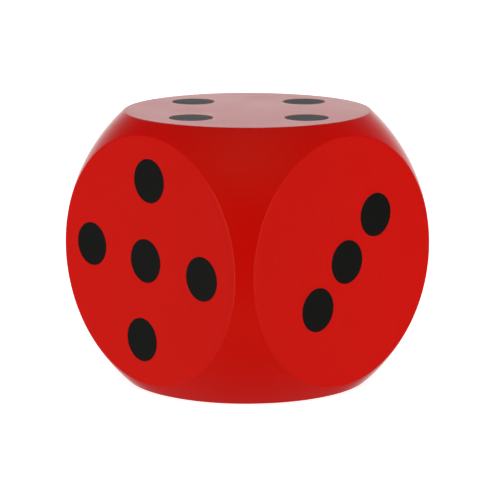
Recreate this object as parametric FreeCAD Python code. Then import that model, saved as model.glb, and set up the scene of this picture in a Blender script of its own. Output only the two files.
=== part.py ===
import FreeCAD, Part
import math
import os

# Giant foam yard die, in millimetres.
#
# A block of soft foam has the form of a cube cut by a ball: six flat round faces, and a strip of
# the ball's surface left between them. A thin red coating seals the whole block, and flat black
# pips are let into the coating, flush with its faces.
#
# The origin is the centre of the bottom face. +Z goes up through the face with four pips, -Y
# through the face with five, and +X through the face with three.

ACROSS_FLATS = 160.0
BALL_RADIUS = 108.1
EDGE_ROUND = 1.5

COATING_THICKNESS = 1.0
PIP_DIAMETER = 25.4
PIP_DEPTH = 0.4

# The pips stand on a square stencil of three by three places. Its rows are turned by half a right
# angle from the die's edges.
STENCIL_TURN = 45.0
STENCIL_PITCH = 33.3
ROW_PITCH = 34.1

CORNER_PLACES = ((-1, -1), (1, 1), (-1, 1), (1, -1))
MIDDLE_PLACE = (0, 0)
ROW_PLACES = ((-1, 0), MIDDLE_PLACE, (1, 0))
SIDE_PLACES = ((-1, 0), (1, 0))

X = FreeCAD.Vector(1, 0, 0)
Y = FreeCAD.Vector(0, 1, 0)
Z = FreeCAD.Vector(0, 0, 1)

CENTRE = Z * (ACROSS_FLATS / 2)


class Face:
    """One numbered face: where it points, and how its stencil lies on it.

    Across and up are the directions seen by someone who looks straight at the face. The stencil
    was laid on by hand, so it is turned by a few degrees and shifted by a few millimetres.
    """

    def __init__(self, number, across, up, places, pitch, error_turn, shift_across, shift_up):
        self.number = number
        self.normal = across.cross(up)
        self.across = across
        self.up = up
        self.places = places
        self.pitch = pitch
        self.turn = STENCIL_TURN + error_turn
        self.shift_across = shift_across
        self.shift_up = shift_up

    def point(self, column, row):
        """The point on the face for one place of the stencil."""
        turn = math.radians(self.turn)
        across = column * math.cos(turn) - row * math.sin(turn)
        up = column * math.sin(turn) + row * math.cos(turn)
        across = across * self.pitch + self.shift_across
        up = up * self.pitch + self.shift_up
        face_centre = CENTRE + self.normal * (ACROSS_FLATS / 2)
        return face_centre + self.across * across + self.up * up


FACES = (
    Face(1, X, -Y, (MIDDLE_PLACE,), STENCIL_PITCH, 0.0, 0.6, -0.4),
    Face(2, -X, Z, CORNER_PLACES[:2], STENCIL_PITCH, 1.5, 0.8, 0.3),
    Face(3, Y, Z, ROW_PLACES, ROW_PITCH, 1.2, 2.1, -0.3),
    Face(4, X, Y, CORNER_PLACES, STENCIL_PITCH, 1.0, 0.7, 0.4),
    Face(5, X, Z, CORNER_PLACES + (MIDDLE_PLACE,), STENCIL_PITCH, -4.3, -1.6, 0.0),
    Face(6, -Y, Z, CORNER_PLACES + SIDE_PLACES, STENCIL_PITCH, -1.2, -0.7, 0.5),
)


def cut_cube(inset):
    """The cube cut by the ball, with every surface set in by inset."""
    side = ACROSS_FLATS - 2 * inset
    cube = Part.makeBox(side, side, side, FreeCAD.Vector(-side / 2, -side / 2, inset))
    ball = Part.makeSphere(BALL_RADIUS - inset, CENTRE)
    return cube.common(ball)


def is_face_rim(edge):
    """True for an edge where a flat face meets the ball, false for the ball's own seam."""
    return isinstance(edge.Curve, Part.Circle) and abs(edge.Curve.Radius - face_radius()) < 0.01


def face_radius():
    """The radius of the circle in which the ball cuts a face."""
    return math.sqrt(BALL_RADIUS ** 2 - (ACROSS_FLATS / 2) ** 2)


def make_pips():
    """Each pip's name and its disc, which lies just under its face."""
    pips = {}
    for face in FACES:
        for index, (column, row) in enumerate(face.places, start=1):
            centre = face.point(column, row) - face.normal * PIP_DEPTH
            disc = Part.makeCylinder(PIP_DIAMETER / 2, PIP_DEPTH, centre, face.normal)
            pips[f"pip_{face.number}_{index}"] = disc
    return pips


def make_coating(core, pips):
    """The red skin: a closed shell around the core, with a shallow pocket for each pip."""
    block = cut_cube(0)
    rims = [edge for edge in block.Edges if is_face_rim(edge)]
    outside = block.makeFillet(EDGE_ROUND, rims)
    return outside.cut([core] + list(pips.values()))


foam_core = cut_cube(COATING_THICKNESS)
pips = make_pips()
nodes = {"foam_core": foam_core, "coating": make_coating(foam_core, pips)}
nodes.update(pips)

os.makedirs("parts", exist_ok=True)
for name, shape in nodes.items():
    shape.exportStep(f"parts/{name}.step")
    print(name, shape.ShapeType, "valid", shape.isValid(), "solids", len(shape.Solids),
          "cm3", round(shape.Volume / 1000, 3))
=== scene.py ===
import math

import bpy
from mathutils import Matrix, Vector, noise
from mathutils.geometry import delaunay_2d_cdt


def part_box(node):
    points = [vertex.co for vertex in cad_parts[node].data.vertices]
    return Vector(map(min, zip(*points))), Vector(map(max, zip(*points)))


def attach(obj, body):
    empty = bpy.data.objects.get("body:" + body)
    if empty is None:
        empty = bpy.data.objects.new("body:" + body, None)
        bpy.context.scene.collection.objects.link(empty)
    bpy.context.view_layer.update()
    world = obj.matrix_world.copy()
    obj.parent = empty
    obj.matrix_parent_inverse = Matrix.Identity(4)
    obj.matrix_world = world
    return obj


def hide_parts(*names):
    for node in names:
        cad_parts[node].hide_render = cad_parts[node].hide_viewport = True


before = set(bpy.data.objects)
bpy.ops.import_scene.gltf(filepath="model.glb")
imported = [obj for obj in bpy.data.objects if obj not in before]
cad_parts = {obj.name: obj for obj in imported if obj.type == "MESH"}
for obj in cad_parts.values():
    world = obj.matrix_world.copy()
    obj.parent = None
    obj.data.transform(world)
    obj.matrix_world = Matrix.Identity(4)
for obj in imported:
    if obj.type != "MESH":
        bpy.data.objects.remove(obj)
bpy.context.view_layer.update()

# A giant foam yard die: a foam block in the form of a cube cut by a ball, a red coating over it,
# and black pips let into the coating. Lengths are in metres, in the frame of the CAD model.

MM = 0.001

# ---------------------------------------------------------------- the form, read from the frame

COATING_LOW, COATING_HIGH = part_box("coating")
CENTRE = (COATING_LOW + COATING_HIGH) / 2
HALF = (COATING_HIGH.z - COATING_LOW.z) / 2
COATING_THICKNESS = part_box("foam_core")[0].z - COATING_LOW.z
BALL_RADIUS = max((v.co - CENTRE).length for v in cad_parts["coating"].data.vertices)

RIM_ROUND = 1.6 * MM       # radius of the soft edge where a flat face meets the ball
CORE_RIM_ROUND = 0.8 * MM  # the same for the foam core
PIP_LIP = 0.15 * MM        # radius of the small edge of each pip and of its pocket
POCKET_DEPTH = 0.42 * MM   # a hair deeper than the pips, so that they don't share a surface

# The soft surface has broad swells and a faint ripple. Each is a size and a height.
SWELL_SIZE, SWELL_HEIGHT = 48 * MM, 0.11 * MM
RIPPLE_SIZE, RIPPLE_HEIGHT = 13 * MM, 0.025 * MM
RIPPLE_PLACE = Vector((7.3, 1.9, 4.1))

# How finely the surface is divided
SECTORS = 288              # points round a face; a multiple of eight puts one on each corner
RIM_STEPS = 8              # rings over the soft edge of a face
BALL_STEPS = 9             # rings from there to the next face's patch
PIP_SECTORS = 144          # points round a pip
LIP_STEPS = 3              # rings over the small edge of a pip or pocket
PIP_RINGS = (0.12, 0.3, 0.5, 0.7, 0.86, 0.95, 1.0)    # rings on a pip's flat, as shares of its radius
FACE_GRID = 3.6 * MM       # distance between the points on a flat face
RIM_GUARD = 0.7 * MM       # a ring of points stands this far inside a face's rim,
PIP_GUARD = 0.8 * MM       # and another this far outside each pip,
GRID_CLEARANCE = 2.2 * MM  # and the grid stays this far from both rim and pips
SAME_PLACE = 0.002 * MM    # points that agree to this are one point

NORMALS = [Vector(n) for n in ((0, 0, 1), (0, 0, -1), (1, 0, 0), (-1, 0, 0), (0, 1, 0), (0, -1, 0))]


def face_axes(normal):
    """Two directions in a face, so that across x up is its outward normal."""
    up = Vector((0, 1, 0)) if abs(normal.z) > 0.5 else Vector((0, 0, 1))
    return up.cross(normal), up


def unevenness(point):
    """How far the soft surface stands out from its ideal form."""
    swell = noise.noise(point / SWELL_SIZE)
    ripple = noise.noise(point / RIPPLE_SIZE + RIPPLE_PLACE)
    return SWELL_HEIGHT * swell + RIPPLE_HEIGHT * ripple


class Surface:
    """Collects points with their outward normals, and faces, then makes one mesh object of them.

    Points in the same place are shared, so patches that meet are sewn together.
    """

    def __init__(self):
        self.points = []
        self.faces = []
        self.index_at = {}

    def add(self, point, normal):
        """The index of the point, moved along its normal by the surface's unevenness."""
        key = tuple(round(value / SAME_PLACE) for value in point)
        if key not in self.index_at:
            self.index_at[key] = len(self.points)
            self.points.append(point + normal * unevenness(point))
        return self.index_at[key]

    def band(self, lower, upper):
        """Quads between two rings of the same number of points."""
        count = len(lower)
        for i in range(count):
            j = (i + 1) % count
            self.faces.append((lower[i], lower[j], upper[j], upper[i]))

    def shut(self, edge, middle):
        """A fan of triangles from a ring of points to the one in its middle."""
        for i, index in enumerate(edge):
            self.faces.append((index, edge[(i + 1) % len(edge)], middle))

    def make(self, name, material, inward=None):
        """The mesh object. The faces of inward, another surface, become its inner wall."""
        points, faces = list(self.points), list(self.faces)
        if inward:
            start = len(points)
            points += inward.points
            faces += [tuple(start + i for i in reversed(face)) for face in inward.faces]
        mesh = bpy.data.meshes.new(name)
        mesh.from_pydata(points, [], faces)
        mesh.validate()
        mesh.shade_smooth()
        mesh.materials.append(material)
        obj = bpy.data.objects.new(name, mesh)
        bpy.context.scene.collection.objects.link(obj)
        return obj


def ring(radius, count, middle=Vector((0, 0))):
    """Points evenly round a circle on a face."""
    turns = [math.tau * i / count for i in range(count)]
    return [middle + Vector((radius * math.cos(turn), radius * math.sin(turn))) for turn in turns]


def lip_profile(radius):
    """The small rounded edge of a pip or pocket: how far out and how deep each ring of it is."""
    turns = [math.pi / 2 * step / LIP_STEPS for step in range(1, LIP_STEPS + 1)]
    return [(radius * math.sin(turn), radius * (1 - math.cos(turn))) for turn in turns]


class Pip:
    """One pip as the frame has it: its face, and its place and radius on that face."""

    def __init__(self, node):
        low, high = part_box(node)
        middle = (low + high) / 2 - CENTRE
        self.node = node
        self.radius = max(high - low) / 2
        self.depth = min(high - low)
        self.normal = max(NORMALS, key=middle.dot)
        across, up = face_axes(self.normal)
        self.place = Vector((middle.dot(across), middle.dot(up)))

    def is_outside(self, flat, distance):
        """True if that point of the face is further than distance from the pip."""
        return (flat - self.place).length > self.radius + distance

    def mouth_holds(self, flat):
        """True if that point of the face is in the mouth of the pip's pocket.

        The mouth is a polygon, and the circle that its edges touch stands for it.
        """
        inner_radius = (self.radius + PIP_LIP) * math.cos(math.pi / PIP_SECTORS)
        return (flat - self.place).length <= inner_radius


PIPS = [Pip(name) for name in sorted(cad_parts) if name.startswith("pip_")]


def lay_flat_face(surface, normal, half, flat_radius, pips):
    """The flat part of one face, with a round hole for each pip. Gives the outer ring's indices."""
    across, up = face_axes(normal)

    def spot(flat, depth=0.0):
        return CENTRE + normal * (half - depth) + across * flat.x + up * flat.y

    rim = ring(flat_radius, SECTORS)
    rim_guard = ring(flat_radius - RIM_GUARD, SECTORS)
    mouths = [ring(pip.radius + PIP_LIP, PIP_SECTORS, pip.place) for pip in pips]
    guards = [ring(pip.radius + PIP_GUARD, PIP_SECTORS, pip.place) for pip in pips]
    flats = rim + rim_guard
    edges = []
    for mouth, guard in zip(mouths, guards):
        start = len(flats)
        flats += mouth + guard
        edges += [(start + i, start + (i + 1) % PIP_SECTORS) for i in range(PIP_SECTORS)]
    reach = int(flat_radius / FACE_GRID) + 1
    for row in range(-2 * reach, 2 * reach + 1):
        for column in range(-2 * reach, 2 * reach + 1):
            flat = Vector((column + 0.5 * (row % 2), row * math.sqrt(0.75))) * FACE_GRID
            clear_of_rim = flat.length < flat_radius - GRID_CLEARANCE
            if clear_of_rim and all(pip.is_outside(flat, GRID_CLEARANCE) for pip in pips):
                flats.append(flat)

    flats, _, triangles, _, _, _ = delaunay_2d_cdt(flats, edges, [], 0, 1e-9)
    indices = [surface.add(spot(flat), normal) for flat in flats]
    for triangle in triangles:
        # a triangle that would fill a pocket's mouth is left out
        middle = sum((flats[i] for i in triangle), Vector((0, 0))) / 3
        if not any(pip.mouth_holds(middle) for pip in pips):
            surface.faces.append(tuple(indices[i] for i in triangle))

    for pip, mouth in zip(pips, mouths):
        rings = [[surface.add(spot(p), normal) for p in mouth]]
        levels = [(pip.radius + PIP_LIP - out, depth) for out, depth in lip_profile(PIP_LIP)]
        for radius, depth in levels + [(pip.radius, POCKET_DEPTH)]:
            rings.append([surface.add(spot(p, depth), normal)
                          for p in ring(radius, PIP_SECTORS, pip.place)])
        for above, below in zip(rings, rings[1:]):
            surface.band(above, below)
        surface.shut(rings[-1], surface.add(spot(pip.place, POCKET_DEPTH), normal))
    return [surface.add(spot(p), normal) for p in rim]


def block(half, ball_radius, rim_round, pips=()):
    """The surface of a cube cut by a ball, with rounded rims, and pockets for the pips given."""
    surface = Surface()
    rim_height = half - rim_round
    rim_centre = math.sqrt((ball_radius - rim_round) ** 2 - rim_height ** 2)
    rim_angle = math.atan2(rim_centre, rim_height)
    for normal in NORMALS:
        across, up = face_axes(normal)
        own_pips = [pip for pip in pips if pip.normal == normal]
        rings = [lay_flat_face(surface, normal, half, rim_centre, own_pips)]
        spokes = [across * p.x + up * p.y for p in ring(1.0, SECTORS)]
        for step in range(1, RIM_STEPS + 1):
            turn = rim_angle * step / RIM_STEPS
            row = []
            for spoke in spokes:
                outward = normal * math.cos(turn) + spoke * math.sin(turn)
                middle = normal * rim_height + spoke * rim_centre
                row.append(surface.add(CENTRE + middle + outward * rim_round, outward))
            rings.append(row)
        for step in range(1, BALL_STEPS + 1):
            row = []
            for i, spoke in enumerate(spokes):
                # a neighbouring face's patch begins where the direction is as far over as it is up
                turn = math.tau * i / SECTORS
                patch_edge = math.atan(1 / max(abs(math.cos(turn)), abs(math.sin(turn))))
                angle = rim_angle + (patch_edge - rim_angle) * step / BALL_STEPS
                outward = normal * math.cos(angle) + spoke * math.sin(angle)
                row.append(surface.add(CENTRE + outward * ball_radius, outward))
            rings.append(row)
        for inner, outer in zip(rings, rings[1:]):
            surface.band(outer, inner)
    return surface


def pip_surface(pip):
    """A flat disc with small rounded edges, which follows the swells of the coating round it."""
    surface = Surface()
    across, up = face_axes(pip.normal)

    def spot(flat, depth):
        place = CENTRE + pip.normal * (HALF - depth) + across * flat.x + up * flat.y
        return surface.add(place, pip.normal)

    flat_radius = pip.radius - PIP_LIP
    levels = [(flat_radius * share, 0.0) for share in PIP_RINGS]
    levels += [(flat_radius + out, depth) for out, depth in lip_profile(PIP_LIP)]
    levels.append((pip.radius, pip.depth))
    rings = [[spot(p, depth) for p in ring(radius, PIP_SECTORS, pip.place)] for radius, depth in levels]
    surface.shut(rings[0], spot(pip.place, 0.0))
    for inner, outer in zip(rings, rings[1:]):
        surface.band(outer, inner)
    surface.shut(list(reversed(rings[-1])), spot(pip.place, pip.depth))
    return surface


# ---------------------------------------------------------------- materials

class Nodes:
    """A material's node tree, with short calls that add the nodes this script uses."""

    def __init__(self, name):
        self.material = bpy.data.materials.new(name)
        self.material.use_nodes = True
        self.tree = self.material.node_tree
        self.shader = self.tree.nodes["Principled BSDF"]
        self.place = self.add("ShaderNodeTexCoord").outputs["Object"]

    def add(self, kind, **inputs):
        """A node of that kind with these inputs set: to a value, or linked if it is a socket."""
        node = self.tree.nodes.new(kind)
        for name, value in inputs.items():
            self.set(node, name.replace("_", " "), value)
        return node

    def set(self, node, name, value):
        """Sets one input of a node to a value, or links it."""
        if isinstance(value, bpy.types.NodeSocket):
            self.tree.links.new(value, node.inputs[name])
        else:
            node.inputs[name].default_value = value

    def noise(self, size, detail, roughness=0.5):
        """Noise from 0 to 1 whose lumps are about size metres across."""
        return self.add("ShaderNodeTexNoise", Vector=self.place, Scale=1 / size, Detail=detail,
                        Roughness=roughness).outputs["Fac"]

    def ramp(self, value, start, end, low, high):
        """The value, mapped smoothly from start..end to low..high."""
        node = self.add("ShaderNodeMapRange", Value=value)
        node.interpolation_type = "SMOOTHSTEP"
        for name, number in zip(("From Min", "From Max", "To Min", "To Max"), (start, end, low, high)):
            node.inputs[name].default_value = number
        return node.outputs["Result"]

    def mix(self, share, first, second):
        """Two colours mixed by share."""
        node = self.tree.nodes.new("ShaderNodeMix")
        node.data_type = "RGBA"
        for socket, value in zip((node.inputs[0], node.inputs[6], node.inputs[7]),
                                 (share, first, second)):
            if isinstance(value, bpy.types.NodeSocket):
                self.tree.links.new(value, socket)
            else:
                socket.default_value = value
        return node.outputs[2]

    def bump(self, height, distance, under=None):
        """A bump of that height map, on top of another one if under is given."""
        node = self.add("ShaderNodeBump", Height=height, Distance=distance)
        if under:
            self.set(node, "Normal", under)
        return node.outputs["Normal"]


# The coating's pattern, the same in red and in black
BLOTCH_SIZE = 22 * MM
MOTTLE_SIZE = 3.2 * MM
SHEEN_PATCH_SIZE = 30 * MM
SHEEN_SPREAD = 0.015       # how far the roughness goes above and below its middle
PEEL_SIZE, PEEL_HEIGHT = 2.6 * MM, 0.018 * MM
GRAIN_SIZE, GRAIN_HEIGHT = 0.9 * MM, 0.004 * MM
COATING_IOR = 1.22         # the gloss is much weaker than that of hard plastic, which has 1.5


def coating_material(name, colour, pale_colour, deep_colour, roughness, gloss_tint):
    """Sprayed flexible polyurethane: even colour, a fine orange-peel skin, and a soft gloss."""
    nodes = Nodes(name)
    blotches = nodes.ramp(nodes.noise(BLOTCH_SIZE, 3.0), 0.3, 0.7, 0.0, 1.0)
    mottle = nodes.ramp(nodes.noise(MOTTLE_SIZE, 4.0, 0.6), 0.35, 0.75, 0.0, 1.0)
    base = nodes.mix(blotches, deep_colour, colour)
    nodes.set(nodes.shader, "Base Color", nodes.mix(mottle, base, pale_colour))

    sheen = nodes.ramp(nodes.noise(SHEEN_PATCH_SIZE, 1.0), 0.3, 0.7,
                       roughness - SHEEN_SPREAD, roughness + SHEEN_SPREAD)
    nodes.set(nodes.shader, "Roughness", sheen)

    peel = nodes.bump(nodes.noise(PEEL_SIZE, 1.0, 0.45), PEEL_HEIGHT)
    grain = nodes.bump(nodes.noise(GRAIN_SIZE, 1.0), GRAIN_HEIGHT, under=peel)
    nodes.set(nodes.shader, "Normal", grain)
    nodes.shader.inputs["IOR"].default_value = COATING_IOR
    nodes.shader.inputs["Specular Tint"].default_value = gloss_tint
    return nodes.material


CELL_SIZE, CELL_DEPTH = 0.9 * MM, 0.25 * MM
FOAM_TINT_SIZE = 14 * MM


def foam_material():
    """Open-cell polyurethane foam: pale yellow walls round small cells, with painted shade darkening
    the cell hollows.
    """
    nodes = Nodes("foam")
    cells = nodes.add("ShaderNodeTexVoronoi", Vector=nodes.place, Scale=1 / CELL_SIZE)
    wall = nodes.ramp(cells.outputs["Distance"], 0.1, 0.75, 0.0, 1.0)
    tint = nodes.ramp(nodes.noise(FOAM_TINT_SIZE, 3.0), 0.3, 0.7, 0.0, 1.0)
    foam = nodes.mix(tint, (0.72, 0.62, 0.40, 1), (0.80, 0.71, 0.50, 1))
    # the dark colour in the cell hollows, where the bump sinks, is painted shade
    nodes.set(nodes.shader, "Base Color", nodes.mix(wall, (0.34, 0.27, 0.15, 1), foam))
    nodes.set(nodes.shader, "Normal", nodes.bump(wall, CELL_DEPTH))
    nodes.set(nodes.shader, "Roughness", nodes.ramp(wall, 0.0, 1.0, 1.0, 0.85))
    return nodes.material


RED = coating_material(
    "red_coating",
    colour=(0.70, 0.0010, 0.0004, 1),
    pale_colour=(0.71, 0.0016, 0.0006, 1),
    deep_colour=(0.69, 0.0006, 0.0002, 1),
    roughness=0.20,
    gloss_tint=(1.0, 0.95, 0.48, 1),
)
BLACK = coating_material(
    "black_pips",
    colour=(0.0028, 0.0028, 0.0028, 1),
    pale_colour=(0.0036, 0.0036, 0.0036, 1),
    deep_colour=(0.0022, 0.0022, 0.0022, 1),
    roughness=0.46,
    gloss_tint=(0.90, 0.86, 0.78, 1),
)
FOAM = foam_material()

# ---------------------------------------------------------------- the pieces

core_surface = block(HALF - COATING_THICKNESS, BALL_RADIUS - COATING_THICKNESS, CORE_RIM_ROUND)
core = core_surface.make("foam_block", FOAM)
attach(core, "root")
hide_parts("foam_core")

coating = block(HALF, BALL_RADIUS, RIM_ROUND, PIPS).make("red_skin", RED, inward=core_surface)
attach(coating, "root")
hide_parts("coating")

for pip in PIPS:
    spot = pip_surface(pip).make(pip.node + "_spot", BLACK)
    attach(spot, "root")
    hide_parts(pip.node)

# ---------------------------------------------------------------- floor, light and camera

FLOOR_HALF = 6.0           # half the floor's side
FLOOR_GAP = 0.15 * MM      # the floor is this far below the die, whose surface is a little uneven
FLOOR_GLOW = 0.84

# The camera looks along this bearing. Soft lights are placed round the die from it, in degrees to
# the right: 0 is the camera's own side and 180 is behind the die.
CAMERA_AZIMUTH = 45.82

# Each soft light in the sky is round, height, sharpness and strength. One of sharpness 5 fades to
# half its strength 31 degrees from its middle, and one of sharpness 16 at 17 degrees. Light from
# below the horizon is the glow of the floor that the die stands on.
SOFT_LIGHTS = (
    # the bright backdrop down to the floor, which the top face mirrors and which whitens the outline
    (180, -8, 12, 1.10),
    (158, 4, 16, 0.38),
    (-158, 4, 16, 0.44),
    (140, 10, 6, 0.16),
    (180, 30, 6, 0.14),
    # the two sides
    (50, 20, 5, 0.48),
    (-50, 20, 5, 0.59),
    (-95, -10, 12, 0.18),
    # the lights overhead
    (0, 62, 12, 0.53),
    (0, 90, 4, 0.47),
    # the floor
    (70, -42, 4, 0.54),
    (-70, -42, 4, 0.60),
    (0, -36, 8, 0.40),
    (180, -75, 4, 0.15),
)

# Lamps stand near the die on both sides. Each one is round, height, width and tallness in metres,
# and power in watts. The wide ones are left out of reflections. The narrow ones are not, and they
# show as fine bright lines on the rims of the upright faces.
WIDE_LAMPS = ((72, -3, 0.5, 0.5, 1.00), (-68, -3, 0.5, 0.5, 0.46))
NARROW_LAMPS = ((56, -3, 0.12, 0.38, 0.72), (-59, -3, 0.12, 0.38, 0.85))
LAMP_DISTANCE = 0.7


def toward(round_from_camera, height):
    """The direction from the die at that angle round from the camera and height, in degrees."""
    azimuth, elevation = math.radians(CAMERA_AZIMUTH + round_from_camera), math.radians(height)
    return Vector((math.sin(azimuth) * math.cos(elevation),
                   -math.cos(azimuth) * math.cos(elevation), math.sin(elevation)))


def make_floor():
    """A plain pale floor with a glow of its own, which reaches well past the view.

    The lights below the horizon stand for its glow on the die, so the die doesn't see it.
    """
    mesh = bpy.data.meshes.new("floor")
    corners = [(x * FLOOR_HALF, y * FLOOR_HALF, COATING_LOW.z - FLOOR_GAP)
               for x, y in ((-1, -1), (1, -1), (1, 1), (-1, 1))]
    mesh.from_pydata(corners, [], [(0, 1, 2, 3)])
    nodes = Nodes("floor")
    nodes.shader.inputs["Base Color"].default_value = (0.9, 0.9, 0.9, 1)
    nodes.shader.inputs["Roughness"].default_value = 0.9
    nodes.shader.inputs["Emission Color"].default_value = (1, 1, 1, 1)
    nodes.shader.inputs["Emission Strength"].default_value = FLOOR_GLOW
    mesh.materials.append(nodes.material)
    floor = bpy.data.objects.new("floor", mesh)
    floor.visible_diffuse = False
    floor.visible_glossy = False
    floor.visible_shadow = False
    bpy.context.scene.collection.objects.link(floor)


def make_world():
    """A sky of soft lights that fade into each other."""
    world = bpy.data.worlds.new("studio")
    world.use_nodes = True
    tree = world.node_tree
    place = tree.nodes.new("ShaderNodeTexCoord").outputs["Generated"]

    def compute(operation, first, second=None, third=None):
        node = tree.nodes.new("ShaderNodeMath")
        node.operation = operation
        for socket, value in zip(node.inputs, (first, second, third)):
            if isinstance(value, bpy.types.NodeSocket):
                tree.links.new(value, socket)
            elif value is not None:
                socket.default_value = value
        return node.outputs["Value"]

    total = 0.0
    for round_from_camera, height, sharpness, strength in SOFT_LIGHTS:
        facing = tree.nodes.new("ShaderNodeVectorMath")
        facing.operation = "DOT_PRODUCT"
        tree.links.new(place, facing.inputs[0])
        facing.inputs[1].default_value = toward(round_from_camera, height)
        fall = compute("MULTIPLY_ADD", facing.outputs["Value"], sharpness, -sharpness)
        total = compute("MULTIPLY_ADD", compute("EXPONENT", fall), strength, total)
    background = tree.nodes["Background"]
    background.inputs["Color"].default_value = (0.99, 0.99, 1.0, 1)
    tree.links.new(total, background.inputs["Strength"])
    bpy.context.scene.world = world


def make_lamps(lamps, reflected):
    """Panel lamps that face the die. They show in its surface only if reflected is true."""
    for round_from_camera, height, width, tallness, power in lamps:
        data = bpy.data.lights.new("lamp", "AREA")
        data.shape = "RECTANGLE"
        data.size = width
        data.size_y = tallness
        data.energy = power
        lamp = bpy.data.objects.new("lamp", data)
        direction = toward(round_from_camera, height)
        lamp.location = CENTRE + direction * LAMP_DISTANCE
        lamp.rotation_mode = "QUATERNION"
        lamp.rotation_quaternion = direction.to_track_quat("Z", "Y")
        lamp.visible_camera = False
        lamp.visible_glossy = reflected
        bpy.context.scene.collection.objects.link(lamp)


# The camera faces one upright corner of the die from a little above, far back, with a long lens.
CAMERA_ELEVATION = 11.43
CAMERA_DISTANCE = 18.43 * HALF
AIM_RIGHT = 1.54 * MM      # it aims this far to the right of the die's middle
AIM_UP = -4.49 * MM        # and this far up, so a little below it
LENS = 178.2
CLIP_NEAR, CLIP_FAR = 0.05, 50.0


def make_camera():
    """The camera at its place, aimed just beside the middle of the die."""
    back = toward(0, CAMERA_ELEVATION)
    right = toward(90, 0)
    aim = CENTRE + right * AIM_RIGHT + back.cross(right) * AIM_UP
    data = bpy.data.cameras.new("camera")
    data.lens = LENS
    data.clip_start = CLIP_NEAR
    data.clip_end = CLIP_FAR
    camera = bpy.data.objects.new("camera", data)
    camera.location = aim + back * CAMERA_DISTANCE
    camera.rotation_mode = "QUATERNION"
    camera.rotation_quaternion = (-back).to_track_quat("-Z", "Y")
    bpy.context.scene.collection.objects.link(camera)
    bpy.context.scene.camera = camera


make_floor()
make_world()
make_lamps(WIDE_LAMPS, reflected=False)
make_lamps(NARROW_LAMPS, reflected=True)
make_camera()
bpy.context.scene.view_settings.view_transform = "Standard"
